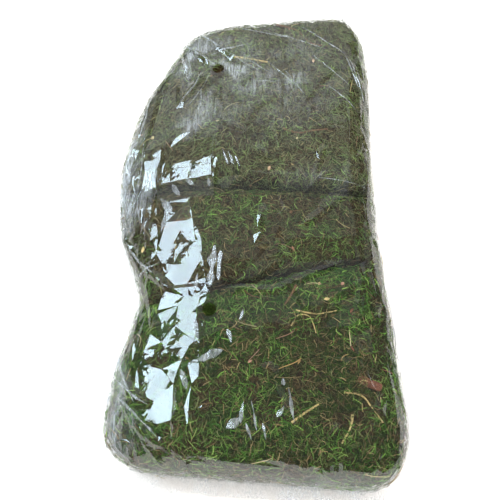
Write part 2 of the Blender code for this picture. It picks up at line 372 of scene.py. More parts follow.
@dataclass(frozen=True)
class FilmFinish:
    """Blown polythene film: clear and glossy, with fine ripples left by packing. Where it is
    loose or gathered its many small wrinkles make it milky, in streaks that run along the bag."""

    name: str
    milk: float  # milkiness everywhere
    veil_milk: float  # added where the film is gathered into a veil
    roughness: float
    ripple: float = 9 * MM
    ripple_height: float = 0.07 * MM
    streak: tuple[float, float] = (3.2 * MM, 20 * MM)  # across and along the wrinkles
    lean: float = math.radians(14)  # how far the wrinkles turn from the bag's length
    ior: float = 1.51  # polythene
    most: float = 0.22  # wrinkles keep it from mirroring fully, even edge on
    between: float = 0.08  # a veil's milkiness between its streaks

    def material(self) -> bpy.types.Material:
        """Builds the material."""
        material, tree = new_material(self.name)
        place = add_node(tree, "TexCoord").outputs["Object"]
        bare = self.bare_film(tree, place)
        white = (0.80, 0.87, 0.93, 1.0)
        back = add_node(tree, "BsdfDiffuse", white)
        through = add_node(tree, "BsdfTranslucent", white)
        milk = add_node(tree, "MixShader", 0.5, back, through)
        film = add_node(tree, "MixShader", self.milk_share(tree, place), bare, milk)
        finish_surface(tree, film)
        return material

    def bare_film(self, tree: bpy.types.NodeTree, place: bpy.types.NodeSocket) -> bpy.types.Node:
        """Adds the clear film, which mirrors more the more edge on it is seen."""
        ripples = add_node(
            tree, "TexNoise", Vector=place, Scale=1 / self.ripple, Detail=1.0, Roughness=0.4,
            Distortion=0.6,
        )
        bump = add_node(tree, "Bump", Height=ripples, Strength=1.0, Distance=self.ripple_height)
        clear = add_node(tree, "BsdfTransparent", (0.985, 0.99, 0.985, 1.0))
        gloss = add_node(
            tree, "BsdfGlossy", Color=(1.0, 1.0, 1.0, 1.0), Roughness=self.roughness, Normal=bump
        )
        tilt = add_node(tree, "LayerWeight", Blend=0.5, Normal=bump)
        power = {"operation": "POWER"}
        grazing = add_node(tree, "Math", tilt.outputs["Facing"], 5.0, settings=power)
        straight = ((self.ior - 1) / (self.ior + 1)) ** 2  # mirrored straight on, at each face
        mirror = add_node(
            tree, "Math", grazing, self.most - straight, straight, settings=CLAMPED_SUM
        )
        return add_node(tree, "MixShader", mirror, clear, gloss)

    def milk_share(self, tree: bpy.types.NodeTree, place: bpy.types.NodeSocket) -> bpy.types.Node:
        """Adds how milky the film is, streaked along its wrinkles."""
        across, along = (1 / size for size in self.streak)
        turned = add_node(
            tree, "Mapping", Vector=place, Rotation=(0, 0, self.lean), Scale=(across, along, across)
        )
        streaks = add_node(
            tree, "TexNoise", Vector=turned, Scale=1.0, Detail=5.0, Roughness=0.68, Distortion=2.0
        )
        wrinkles = add_node(tree, "MapRange", Value=streaks, From_Min=0.40, From_Max=0.66)
        veil = add_node(tree, "Attribute", settings={"attribute_name": "veil"})
        add = {"operation": "MULTIPLY_ADD"}
        streaked = add_node(tree, "Math", wrinkles, 1 - self.between, self.between, settings=add)
        times = {"operation": "MULTIPLY"}
        patchy = add_node(tree, "Math", veil.outputs["Fac"], streaked, settings=times)
        return add_node(tree, "Math", patchy, self.veil_milk, self.milk, settings=CLAMPED_SUM)


@dataclass(frozen=True)
class PaperFinish:
    """White seamless paper under the bale, with the faintest mottling."""

    shade: str = "f8f5f4"
    colour: str = "fbf9f8"

    def material(self) -> bpy.types.Material:
        """Builds the material."""
        material, tree = new_material("white seamless paper")
        place = add_node(tree, "TexCoord").outputs["Object"]
        mottle = add_node(tree, "TexNoise", Vector=place, Scale=30.0, Detail=3.0)
        colour = add_node(tree, "ValToRGB", mottle, stops=((0.3, self.shade), (0.7, self.colour)))
        finish_surface(tree, add_node(tree, "BsdfDiffuse", colour))
        return material


# ---------------------------------------------------------------- moss


class ShootForm(Enum):
    """The ways a bit of moss grows."""

    FEATHER = "a stem with leaflets down both sides"
    STRAND = "a bare curling strand"
    NEEDLE = "a stiff dry needle"
    FLAKE = "a dry leaf or husk"


STATIONS = 5  # stretches along every shoot


def shoot_template(form: ShootForm) -> tuple[np.ndarray, np.ndarray]:
    """Models one shoot, lying along X from 0 to STATIONS, with a half width of about 1.

    Args:
        form: which way it grows.

    Returns:
        Its vertices, and its triangles as rows of vertex numbers.
    """
    bm = bmesh.new()
    if form is ShootForm.NEEDLE:
        bmesh.ops.create_cone(
            bm, cap_ends=True, segments=3, radius1=1.0, radius2=0.25, depth=STATIONS
        )
        along = [e for e in bm.edges if abs(e.verts[0].co.z - e.verts[1].co.z) > 1.0]
        bmesh.ops.subdivide_edges(bm, edges=along, cuts=STATIONS - 1)
        bmesh.ops.rotate(bm, matrix=Matrix.Rotation(math.pi / 2, 3, "Y"), verts=bm.verts)
        bmesh.ops.translate(bm, vec=(STATIONS / 2, 0, 0), verts=bm.verts)
    else:
        bmesh.ops.create_grid(bm, x_segments=STATIONS, y_segments=1, size=0.5)
        stem = 0.42 if form is ShootForm.FEATHER else 1.0
        for v in bm.verts:
            x = (v.co.x + 0.5) * STATIONS
            v.co = Vector((x, math.copysign(stem * (1 - 0.6 * x / STATIONS), v.co.y), 0))
        tip = [v for v in bm.verts if v.co.x > STATIONS - 0.01]
        bmesh.ops.pointmerge(bm, verts=tip, merge_co=(STATIONS, 0, 0))
    if form is ShootForm.FEATHER:
        rims = [e for e in bm.edges if e.is_boundary and abs(e.verts[0].co.x - e.verts[1].co.x) > 0.1]
        for number, rim in enumerate(rims):
            side = math.copysign(1.0, sum(v.co.y for v in rim.verts))
            middle = sum((v.co for v in rim.verts), Vector()) / 2
            grown = bmesh.ops.extrude_edge_only(bm, edges=[rim])["geom"]
            fresh = [g for g in grown if isinstance(g, bmesh.types.BMVert)]
            reach = 2.4 * (1.0 - 0.5 * middle.x / STATIONS)
            end = middle + Vector((0.55 + 0.1 * (number % 3), side * reach, 0.5 * (-1) ** number))
            bmesh.ops.pointmerge(bm, verts=fresh, merge_co=end)
    if form is ShootForm.FLAKE:
        for v in bm.verts:
            v.co.y = math.copysign(math.sin(math.pi * v.co.x / STATIONS), v.co.y)
            v.co.z = 0.25 * abs(v.co.y) * math.sin(v.co.x * 2)
        bmesh.ops.remove_doubles(bm, verts=bm.verts, dist=0.01)
    bmesh.ops.triangulate(bm, faces=bm.faces)
    bm.verts.index_update()
    points = np.array([v.co for v in bm.verts])
    corners = np.array([[v.index for v in f.verts] for f in bm.faces])
    bm.free()
    return points, corners


UNDERSIDE = 0.5 * MM  # the moss's lowest point: the film lies between it and the table
VENT_RADIUS = 5.5 * MM
VENTS = ((-0.0285, 0.1407), (-0.0295, -0.1093))  # punched through the bag, in plan


def vent_distance(points: np.ndarray) -> np.ndarray:
    """How far each point is outside the nearest vent's rim, in plan."""
    away = [np.hypot(points[:, 0] - x, points[:, 1] - y) for x, y in VENTS]
    return np.min(away, axis=0) - VENT_RADIUS


@dataclass(frozen=True)
class Growth:
    """How one kind of shoot grows over a mat."""

    form: ShootForm
    density: float  # shoots on a square metre of open moss
    length: tuple[float, float]
    half_width: tuple[float, float]
    lift: tuple[float, float]  # height above the thatch, lowest and highest
    arch: float  # how far the middle of a shoot stands up
    curl: float  # how far it turns along its length, in radians
    dead_share: float


# Sheet moss colours: fresh shoots, older shoots, and dead strands.
FRESH = ("4c7a26", "5f8c33", "3c6a1f", "77a044", "2f5618", "88a852")
OLD = ("2b3d17", "3b4a22", "4d5630", "5f6038", "22300f", "6e7448")
DEAD = ("4a3a25", "6b5638", "8c7650", "352a1a", "a89468", "5c4832")
PAINTED_LIGHT_GREY = "93966f"  # what all of them pale towards, as painted window light and film haze
SHED = ("c9b27c", "a98a58", "e0d0a0", "8a5a48", "b98f78", "6e4a34")


def pick_colours(
    rng: np.random.Generator, green: np.ndarray, dead: np.ndarray, shed: bool
) -> np.ndarray:
    """Picks a colour for each shoot.

    Args:
        rng: the random source.
        green: how likely each is to be fresh, from 0 to 1.
        dead: how likely each is to be dead.
        shed: whether they are dry bits that have dropped off.

    Returns:
        Linear colours, one row a shoot.
    """
    palettes = [np.array([linear(c) for c in names]) for names in (FRESH, OLD, DEAD, SHED)]
    count = len(green)
    kind = np.where(rng.random(count) < dead, 2, np.where(rng.random(count) < green, 0, 1))
    kind = np.full(count, 3) if shed else kind
    pick = rng.integers(0, len(FRESH), count)
    colours = np.stack(palettes)[kind, pick]
    return colours * rng.uniform(0.65, 1.25, (count, 1))


class OpenSkin:
    """The parts of a mat's skin that aren't against another mat, ready to be grown over."""

    REACH = 9 * MM  # a face with moss this close in front of it is hidden

    def __init__(self, mesh: bpy.types.Mesh, others: BVHTree) -> None:
        """Measures the skin.

        Args:
            mesh: the mat's smooth skin.
            others: all the mats together.
        """
        mesh.calc_loop_triangles()
        self.points = coordinates(mesh)
        self.corners = np.array([t.vertices[:] for t in mesh.loop_triangles])
        a, b, c = (self.points[self.corners[:, k]] for k in range(3))
        cross = np.cross(b - a, c - a)
        self.normals = unit(cross)
        self.areas = np.linalg.norm(cross, axis=1) / 2
        centres = (a + b + c) / 3
        self.open = np.array([
            others.ray_cast(Vector(p + n * 0.4 * MM), Vector(n), self.REACH)[0] is None
            for p, n in zip(centres, self.normals)
        ])
        self.tree = BVHTree.FromPolygons(self.points.tolist(), self.corners.tolist())

    def sample(
        self, rng: np.random.Generator, density: float, underside: float
    ) -> tuple[np.ndarray, np.ndarray]:
        """Scatters points over the open skin.

        Args:
            rng: the random source.
            density: points on a square metre.
            underside: the share of them kept where the skin faces the table.

        Returns:
            The points and their normals.
        """
        weight = self.areas * self.open * np.where(self.normals[:, 2] < -0.5, underside, 1.0)
        count = int(weight.sum() * density)
        face = rng.choice(len(weight), count, p=weight / weight.sum())
        u, v = rng.random((2, count, 1))
        flip = u + v > 1
        u, v = np.where(flip, 1 - u, u), np.where(flip, 1 - v, v)
        a, b, c = (self.points[self.corners[face, k]] for k in range(3))
        return a + u * (b - a) + v * (c - a), self.normals[face]


def grow(
    name: str, skin: OpenSkin, growth: Growth, starts: tuple[np.ndarray, np.ndarray],
    colours: np.ndarray, rng: np.random.Generator,
) -> bpy.types.Mesh:
    """Grows one shoot from each start, hugging the skin all the way along.

    Args:
        name: the mesh's name.
        skin: the mat's skin.
        growth: the kind of shoot.
        starts: points and normals.
        colours: one linear colour a shoot.
        rng: the random source.

    Returns:
        All the shoots as one mesh, with their colours, painted shade included, as an attribute.
    """
    origin, normal = starts
    count = len(origin)
    template, corners = shoot_template(growth.form)
    length = rng.uniform(*growth.length, count)
    width = rng.uniform(*growth.half_width, count)
    lift = growth.lift[0] + (growth.lift[1] - growth.lift[0]) * rng.random(count) ** 0.8
    arch = growth.arch * rng.uniform(-0.3, 1.0, count)
    curl = rng.normal(0.0, growth.curl, count)
    heading = rng.uniform(0, 2 * math.pi, count)
    roll = rng.normal(0.0, 0.6, count)

    across = unit(np.cross(normal, np.where(np.abs(normal[:, 2:]) < 0.8, [0, 0, 1], [0, 1, 0])))
    along = np.cross(across, normal)
    spots = np.zeros((count, STATIONS + 1, 3))
    spots[:, 0] = origin
    for k in range(STATIONS):
        angle = heading + curl * (k / STATIONS) * (1 + 0.5 * np.sin(heading * 3 + k))
        step = along * np.cos(angle)[:, None] + across * np.sin(angle)[:, None]
        spots[:, k + 1] = spots[:, k] + step * (length / STATIONS)[:, None]

    on_skin = np.zeros_like(spots)
    up = np.zeros_like(spots)
    nearest = skin.tree.find_nearest
    for i in range(count):
        for k in range(STATIONS + 1):
            place, facing, _, _ = nearest(spots[i, k])
            on_skin[i, k] = place
            up[i, k] = facing
    rise = np.sin(np.linspace(0, math.pi, STATIONS + 1))[None] * arch[:, None]
    stem = on_skin + up * (lift[:, None] + rise)[..., None]
    ahead = unit(np.gradient(stem, axis=1))
    side = unit(np.cross(up, ahead))
    top = np.cross(ahead, side)
    twist_cos, twist_sin = np.cos(roll)[:, None, None], np.sin(roll)[:, None, None]
    side, top = side * twist_cos + top * twist_sin, top * twist_cos - side * twist_sin

    station = np.clip(np.round(template[:, 0]), 0, STATIONS).astype(int)
    offset = (template[:, 0] - station)[None, :, None] * (length / STATIONS)[:, None, None]
    wide = width[:, None, None]
    points = (
        stem[:, station]
        + ahead[:, station] * offset
        + side[:, station] * template[None, :, 1:2] * wide
        + top[:, station] * template[None, :, 2:3] * wide
    ).reshape(-1, 3)
    points[:, 2] = np.maximum(points[:, 2], UNDERSIDE)
    tall = (corners[None] + (np.arange(count) * len(template))[:, None, None]).reshape(-1, 3)
    mesh = bpy.data.meshes.new(name)
    mesh.from_pydata(points.tolist(), [], tall.tolist())
    # Painted shade: each shoot darkens towards its root, deep in the mat; its tip is also paler new
    # growth.
    root_shade_to_tip = 0.62 + 0.62 * (template[:, 0] / STATIONS)[None, :, None]
    # Painted shade: shoots that lie lower in the mat, under the others, are darkened.
    depth = (0.45 + 0.75 * (lift - growth.lift[0]) / (growth.lift[1] - growth.lift[0] + 1e-9))
    shades = (colours * depth[:, None])[:, None] * root_shade_to_tip
    write_colours(mesh, "shoot_colour", np.clip(shades.reshape(-1, 3), 0, 1))
    return mesh


FEATHERS = Growth(
    ShootForm.FEATHER, density=160000, length=(3.5 * MM, 9 * MM), half_width=(0.13 * MM, 0.27 * MM),
    lift=(-0.6 * MM, 2.2 * MM), arch=0.9 * MM, curl=1.1, dead_share=0.12,
)
STRANDS = Growth(
    ShootForm.STRAND, density=280000, length=(4 * MM, 11 * MM), half_width=(0.09 * MM, 0.19 * MM),
    lift=(-0.3 * MM, 2.6 * MM), arch=1.0 * MM, curl=1.7, dead_share=0.36,
)
NEEDLES = Growth(
    ShootForm.NEEDLE, density=900, length=(5 * MM, 20 * MM), half_width=(0.28 * MM, 0.55 * MM),
    lift=(2.6 * MM, 4.0 * MM), arch=0.6 * MM, curl=0.7, dead_share=1.0,
)
FLAKES = Growth(
    ShootForm.FLAKE, density=420, length=(2 * MM, 6 * MM), half_width=(0.8 * MM, 1.6 * MM),
    lift=(2.8 * MM, 4.0 * MM), arch=0.3 * MM, curl=0.0, dead_share=1.0,
)


@dataclass
class MossMat:
    """One mat of sheet moss: a lumpy thatch, the shoots that grow from it, and what they shed."""

    node: str
    slot: str
    fresh: float  # how green it is, from 0 to 1
    seed: int
    voxel: float = 3.0 * MM
    hollow: float = 1.5 * MM  # depth of the hollows between clumps
    hollow_size: float = 16 * MM
    tuft: float = 0.8 * MM
    tuft_size: float = 5 * MM
    spare: float = 3.8 * MM  # left between the skin and the film, for the shoots
    swell: float = 6.0 * MM  # the most it swells upwards; beside another mat it can't
    swell_out: float = 17.0 * MM  # and at the bale's sides and ends
    ends: float = 170 * MM  # how far along the bale its ends begin
    swell_reach: float = 30 * MM
    cover: float = 1.0  # how thickly it is grown over, against a mat that shows
    dry: float = 0.0  # how far painted window light and film haze pale its shoots
    vent_hollow: float = 10.0 * MM  # how deep the moss is worn under a vent

    def skin(self, wall: BVHTree) -> bpy.types.Mesh:
        """Models the mat's smooth outer skin: its CAD solid, swollen until it nears the film.

        Args:
            wall: the bag's wall.

        Returns:
            The skin.
        """
        mesh = voxel_skin(node_mesh(self.node), self.voxel, 2)
        points, normals = coordinates(mesh), vertex_normals(mesh)
        push = np.zeros(len(points))
        for i, (point, normal) in enumerate(zip(points, normals)):
            gap = wall.ray_cast(Vector(point), Vector(normal), self.swell_reach)[3]
            if gap is not None:
                spare = self.spare * (1.35 if normal[2] > 0.6 else 1.0)
                outside = abs(normal[0]) > 0.4 or abs(point[1]) > self.ends
                inner = self.swell * min(max((normal[2] - 0.86) / 0.1, 0.0), 1.0)
                push[i] = min(max(gap - spare, 0.0), self.swell_out if outside else inner)
        ends = np.array([e.vertices[:] for e in mesh.edges])
        for _ in range(3):
            total, count = push.copy(), np.ones(len(push))
            for here, there in ((0, 1), (1, 0)):
                np.add.at(total, ends[:, here], push[ends[:, there]])
                np.add.at(count, ends[:, here], 1)
            push = total / count
        points += normals * (push * np.clip((points[:, 2] - 1 * MM) / (6 * MM), 0, 1))[:, None]
        move_vertices(mesh, points)
        return mesh

    def thatch(self, skin: bpy.types.Mesh) -> bpy.types.Object:
        """Models the matted layer under the shoots.

        Args:
            skin: the mat's smooth skin.

        Returns:
            The thatch.
        """
        mesh = skin.copy()
        points, normals = coordinates(mesh), vertex_normals(mesh)
        deep = np.minimum(0.0, lump_field(points, self.hollow_size, self.seed, 3)) * self.hollow * 2
        fine = lump_field(points, self.tuft_size, self.seed + 5) * self.tuft
        worn = np.clip(1 - vent_distance(points) / (1.5 * MM), 0, 1) * (normals[:, 2] > 0.5)
        points += normals * (deep + fine - 0.3 * MM - worn * self.vent_hollow)[:, None]
        points[:, 2] = np.maximum(points[:, 2], UNDERSIDE)
        move_vertices(mesh, points)
        mesh.shade_smooth()
        return new_piece(f"{self.node}_thatch", mesh, [ThatchFinish(self.fresh).material()])

    def shoots(self, skin: OpenSkin, growth: Growth, finish: bpy.types.Material) -> bpy.types.Object:
        """Grows one kind of shoot over the mat.

        Args:
            skin: the mat's open skin.
            growth: the kind of shoot.
            finish: the shoots' material.

        Returns:
            The shoots, as one piece.
        """
        rng = np.random.default_rng(self.seed * 100 + len(growth.form.value))
        points, normals = skin.sample(rng, growth.density * self.cover, underside=0.34)
        clump = lump_field(points, 26 * MM, self.seed + 2, 3)
        kept = rng.random(len(points)) < 0.80 + 0.35 * clump
        kept &= vent_distance(points) > rng.uniform(0.8 * MM, 4 * MM, len(points))
        points, normals, clump = points[kept], normals[kept], clump[kept]
        patch = lump_field(points, 48 * MM, 3.0, 2)
        green = np.clip(self.fresh + 0.55 * clump + 0.45 * patch, 0.03, 0.97)
        shed = growth.dead_share >= 1
        dead = np.clip(growth.dead_share - 0.30 * patch - 0.10 * clump, 0.02, 0.75)
        colours = pick_colours(rng, green, dead, shed)
        # Painted light: the shoots are paled towards grey-green to stand for window light and film
        # haze, most on the head.
        colours += (np.array(linear(PAINTED_LIGHT_GREY)) - colours) * self.dry
        kind = growth.form.name.lower()
        mesh = grow(f"{self.node}_{kind}s", skin, growth, (points, normals), colours, rng)
        return new_piece(mesh.name, mesh, [finish])

    def build(self, others: BVHTree, skin: bpy.types.Mesh, finish: bpy.types.Material) -> OpenSkin:
        """Builds the mat and tells the frame about its pieces.

        Args:
            others: all the mats together.
            skin: this mat's smooth skin.
            finish: the shoots' material.

        Returns:
            The open skin, for what lies on it.
        """
        thatch = self.thatch(skin)
        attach(thatch, BODY)
        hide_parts(self.node)
        open_skin = OpenSkin(skin, others)
        total = 0
        for growth in (FEATHERS, STRANDS, NEEDLES, FLAKES):
            piece = self.shoots(open_skin, growth, finish)
            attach(piece, BODY)
            total += len(piece.data.polygons)
        LOG.info("%s: %d thatch faces, %d shoot faces", self.node, len(skin.polygons), total)
        return open_skin


# ---------------------------------------------------------------- film


def film_piece(
    bm: bmesh.types.BMesh, name: str, finishes: Sequence[FilmFinish],
    veil: Callable[[np.ndarray], np.ndarray], wall: float = 0.0,
) -> bpy.types.Object:
    """Makes a piece of film and tells the frame about it.

    Args:
        bm: its faces; it is freed.
        name: the piece's name.
        finishes: its material slots.
        veil: gives how milky each point is, from 0 to 1.
        wall: the thickness that its faces get, if any.

    Returns:
        The piece.
    """
    mesh = to_mesh(bm, name)
    layer = mesh.attributes.new("veil", "FLOAT", "POINT")
    layer.data.foreach_set("value", veil(coordinates(mesh)).astype(np.float32))
    piece = new_piece(name, mesh, [finish.material() for finish in finishes])
    if wall:
        piece.modifiers.new("wall", "SOLIDIFY").thickness = wall
    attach(piece, BODY)
    return piece


@dataclass(frozen=True)
class Pleat:
    """A straight fold in the film, standing up like a tent along a line."""

    start: tuple[float, float, float]  # from the middle of the bag's box
    end: tuple[float, float, float]
    height: float
    half_width: float


@dataclass
class PolytheneBag:
    """The clear bag: one thin wall of folded film round the whole bale."""

    node: str = "bag_film"
    voxel: float = 3.1 * MM
    facets: int = 8500
    wall: float = 0.25 * MM
    cling: float = 0.8 * MM  # how far inside the CAD wall the film lies
    sag: float = 1.1 * MM
    sag_size: float = 38 * MM
    jitter: float = 0.22 * MM
    ridges: int = 210
    pressed: float = 8 * MM  # below this height the film is pressed flat on the table
    sharp: float = math.radians(26)  # a fold sharper than this has a creased edge
    crease: float = 0.32 * MM
    vent_sides: int = 20
    vent_rim: float = 0.6 * MM  # the width that the punch pressed round a vent
    strip_thick: float = 1.4 * MM  # anything thinner than this is a welded strip
    seed: int = 11

    def outer_wall(self) -> bpy.types.Mesh:
        """The outside of the CAD bag, closed over its vents and without its welded strips."""
        bm = node_mesh(self.node)
        bm.normal_update()
        rims = [
            f
            for f in bm.faces
            if abs(f.normal.z) < 0.5 and self.in_vent(f, 0.2 * MM)
        ]
        bmesh.ops.delete(bm, geom=rims, context="FACES")
        keep = set()
        edge = [max(bm.verts, key=lambda v: v.co.z)]
        while edge:
            vert = edge.pop()
            if vert not in keep:
                keep.add(vert)
                edge += [e.other_vert(vert) for e in vert.link_edges]
        bmesh.ops.delete(bm, geom=[v for v in bm.verts if v not in keep], context="VERTS")
        tree = BVHTree.FromBMesh(bm)
        thin = set()
        for f in bm.faces:
            inward = f.calc_center_median() - f.normal * 0.05 * MM
            if tree.ray_cast(inward, -f.normal, self.strip_thick)[0] is not None:
                thin.update(f.verts)
        strips = [f for f in bm.faces if thin.issuperset(f.verts)]
        bmesh.ops.delete(bm, geom=strips, context="FACES")
        bmesh.ops.holes_fill(bm, edges=[e for e in bm.edges if e.is_boundary], sides=0)
        bmesh.ops.triangulate(bm, faces=[f for f in bm.faces if len(f.verts) > 4])
        bmesh.ops.recalc_face_normals(bm, faces=bm.faces)
        return voxel_skin(bm, self.voxel, 4)

    def in_vent(self, face: bmesh.types.BMFace, margin: float) -> bool:
        """Whether a face's middle is within a margin of a vent's rim, in plan."""
        return vent_distance(np.array([face.calc_center_median()]))[0] < margin

    def crumpled(self, mesh: bpy.types.Mesh) -> bmesh.types.BMesh:
        """Folds the smooth wall into sharp pleats, ridges and flat facets.

        Args:
            mesh: the smooth wall.

        Returns:
            The folded wall.
        """
        rng = np.random.default_rng(self.seed)
        points, normals = coordinates(mesh), vertex_normals(mesh)
        low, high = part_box(self.node)
        middle = np.array((low + high) / 2)
        push = lump_field(points, self.sag_size, 4.0, 2) * self.sag - self.cling
        for pleat in self.random_ridges(rng, points, normals) + self.named_pleats(middle):
            start, end = np.array(pleat.start), np.array(pleat.end)
            run = end - start
            along = np.clip((points - start) @ run / (run @ run), 0, 1)
            away = np.linalg.norm(points - start - along[:, None] * run, axis=1)
            tent = np.maximum(0, 1 - away / pleat.half_width)
            taper = np.minimum(1, 5 * np.minimum(along + 0.05, 1.05 - along))
            push = np.maximum(push, push * 0.5 + tent * taper * pleat.height)
        points += normals * (push * self.freedom(points, low.z))[:, None]
        points[:, 2] = np.maximum(points[:, 2], low.z)
        move_vertices(mesh, points)
        carrier = new_piece("film_carrier", mesh, ())
        thin = carrier.modifiers.new("facets", "DECIMATE")
        thin.ratio = self.facets / (2 * len(mesh.polygons))
        faceted = evaluated(carrier)
        bpy.data.objects.remove(carrier)
        points, normals = coordinates(faceted), vertex_normals(faceted)
        shake = rng.normal(0, self.jitter, len(points)) * self.freedom(points, low.z)
        points += normals * shake[:, None]
        move_vertices(faceted, points)
        bm = bmesh.new()
        bm.from_mesh(faceted)
        return bm

    def freedom(self, points: np.ndarray, table: float) -> np.ndarray:
        """How free each point is to move, from 0 on the table to 1."""
        return np.clip((points[:, 2] - table) / self.pressed, 0, 1)

    def random_ridges(
        self, rng: np.random.Generator, points: np.ndarray, normals: np.ndarray
    ) -> list[Pleat]:
        """Small folds left by packing, mostly along the bag and round its ends and left side."""
        ridges = []
        middle = (points.max(0) + points.min(0)) / 2
        half = (points.max(0) - points.min(0)) / 2
        while len(ridges) < self.ridges:
            at = rng.integers(len(points))
            place, facing = points[at], normals[at]
            reach = np.abs(place - middle) / half
            flat_top = facing[2] > 0.85 and reach[1] < 0.8
            if facing[2] < -0.5 or (flat_top and rng.random() < 0.62):
                continue
            end_wall = abs(facing[1]) > 0.6
            along = np.array([0.0, 0.15, 1.0]) if end_wall else np.array([0.15, 1.0, 0.1])
            along = along + rng.normal(0, 0.45, 3)
            along = unit(along - facing * (along @ facing))
            half_run = along * rng.uniform(10, 42) * MM * (0.6 if end_wall else 1.0)
            ridges.append(
                Pleat(
                    tuple(place - half_run), tuple(place + half_run), rng.uniform(0.5, 1.9) * MM,
                    rng.uniform(2.8, 5.5) * MM,
                )
            )
        return ridges

    def named_pleats(self, middle: np.ndarray) -> list[Pleat]:
        """The large folds that shape the bag, placed from the middle of its box."""
        return [
            Pleat(tuple(middle + p.start), tuple(middle + p.end), p.height, p.half_width)
            for p in LARGE_PLEATS
        ]

    def cut_vents(self, bm: bmesh.types.BMesh) -> None:
        """Punches the vents: straight cuts round each rim, then the middle drops out."""
        for (x, y), radius in itertools.product(VENTS, (VENT_RADIUS + self.vent_rim, VENT_RADIUS)):
            near = [f for f in bm.faces if self.in_vent(f, 4 * VENT_RADIUS)]
            for number in range(self.vent_sides):
                angle = 2 * math.pi * number / self.vent_sides
                out = Vector((math.cos(angle), math.sin(angle), 0))
                near = [f for f in near if f.is_valid and abs(f.normal.z) > 0.3]
                near = {f for v in {v for f in near for v in f.verts} for f in v.link_faces}
                near = [f for f in near if self.in_vent(f, 4 * VENT_RADIUS)]
                edges = {e for f in near for e in f.edges}
                verts = {v for f in near for v in f.verts}
                bmesh.ops.bisect_plane(
                    bm, geom=[*near, *edges, *verts], dist=1e-6,
                    plane_co=Vector((x, y, 0)) + out * radius, plane_no=out,
                )
        bm.normal_update()
        for face in bm.faces:
            if abs(face.normal.z) > 0.3 and self.in_vent(face, self.vent_rim * 0.98):
                face.material_index = 1
        punched = [f for f in bm.faces if self.in_vent(f, -0.02 * MM)]
        bmesh.ops.delete(bm, geom=punched, context="FACES")

    def crease_edges(self, bm: bmesh.types.BMesh) -> None:
        """Gives every sharp fold a narrow pressed edge, in the creased finish."""
        bm.normal_update()
        sharp = [
            e
            for e in bm.edges
            if len(e.link_faces) == 2
            and e.calc_face_angle(0.0) > self.sharp
            and e.calc_length() > 3 * MM
            and sum(v.co.z for v in e.verts) / 2 > 4 * MM
        ]
        bmesh.ops.bevel(
            bm, geom=sharp, offset=self.crease, segments=1, profile=0.5, affect="EDGES", material=1,
            clamp_overlap=True,
        )

    def veil_share(self, points: np.ndarray) -> np.ndarray:
        """How strongly the film is gathered into a veil at each point, from 0 to 1."""
        middle = np.array(sum(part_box(self.node), Vector()) / 2)
        share = np.zeros(len(points))
        for veil in VEILS:
            away = points - middle - np.array(veil.centre)
            turn = math.radians(veil.turn)
            along = (away[:, 1] * math.cos(turn) - away[:, 0] * math.sin(turn)) / veil.half_length
            across = (away[:, 0] * math.cos(turn) + away[:, 1] * math.sin(turn)) / veil.half_width
            inside = np.clip(1.35 * (1 - np.sqrt(along**2 + across**2)), 0, 1)
            share = np.maximum(share, inside**0.6 * veil.strength)
        patches = np.clip(0.55 + 1.5 * lump_field(points, 17 * MM, 8.0, 3), 0.12, 1.25)
        return share * patches

    def build(self, smooth: bpy.types.Mesh) -> bpy.types.Object:
        """Builds the bag and tells the frame about it.

        Args:
            smooth: the wall before it is folded.

        Returns:
            The bag.
        """
        bm = self.crumpled(smooth)
        self.crease_edges(bm)
        self.cut_vents(bm)
        finishes = (CLEAR_FILM, CREASED_FILM)
        piece = film_piece(bm, "polythene_bag", finishes, self.veil_share, self.wall)
        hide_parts(self.node)
        LOG.info("bag: %d faces before its wall", len(piece.data.polygons))
        return piece


@dataclass
class WeldedStrip:
    """The flat strip beyond the weld at one end of the bag, waved by packing."""

    name: str
    outwards: int  # 1 at the head, -1 at the foot
    depth: float = 15 * MM
    droop: float = math.radians(38)
    thick: float = 0.4 * MM
    wave: float = 1.5 * MM
    across: int = 56
    down: int = 6
    weld: tuple[int, int] = (2, 3)  # which rows are the weld

    def outer_edge(self) -> tuple[Vector, Vector]:
        """The two ends of the strip's outer edge, from the CAD bag."""
        bm = node_mesh("bag_film")
        far = max(bm.verts, key=lambda v: v.co.y * self.outwards).co.copy()
        rim = [
            v.co.copy()
            for v in bm.verts
            if (far.y - v.co.y) * self.outwards < 40 * MM
            and abs(v.co.z - far.z) < 1 * MM
            and any(e.calc_length() < 1.2 * MM for e in v.link_edges)
        ]
        bm.free()
        return min(rim, key=lambda p: p.x), max(rim, key=lambda p: p.x)

    def build(self) -> bpy.types.Object:
        """Builds the strip and tells the frame about it.

        Returns:
            The strip.
        """
        left, right = self.outer_edge()
        run = (right - left).normalized()
        level = Vector((-run.y, run.x, 0)).normalized() * self.outwards
        out = level * math.cos(self.droop) - Vector((0, 0, math.sin(self.droop)))
        up = run.cross(out) * self.outwards
        bm = bmesh.new()
        bmesh.ops.create_grid(bm, x_segments=self.across, y_segments=self.down, size=0.5)
        for v in bm.verts:
            u, t = v.co.x + 0.5, v.co.y + 0.5
            at = Vector((u * 26, self.outwards * 3.0, t * 1.3))
            bend = noise.noise(at) * self.wave * t
            short = (0.5 + noise.noise(at * 0.37)) * 2.4 * MM * t
            spot = left.lerp(right, u) - out * ((1 - t) * (self.depth + 2 * MM) + short)
            v.co = spot + up * bend
        bm.normal_update()
        rows = self.down
        for face in bm.faces:
            t = (face.calc_center_median() - left).dot(out) / (self.depth + 2 * MM) + 1
            face.material_index = int(self.weld[0] <= t * rows < self.weld[1])
        return film_piece(bm, self.name, (CLEAR_FILM, PRESSED_FILM), self.veil_share, self.thick)

    def veil_share(self, points: np.ndarray) -> np.ndarray:
        """How milky the strip is at each point, from 0 to 1."""
        return np.clip(0.30 + 0.6 * lump_field(points, 12 * MM, 6.0, 2), 0.05, 1)


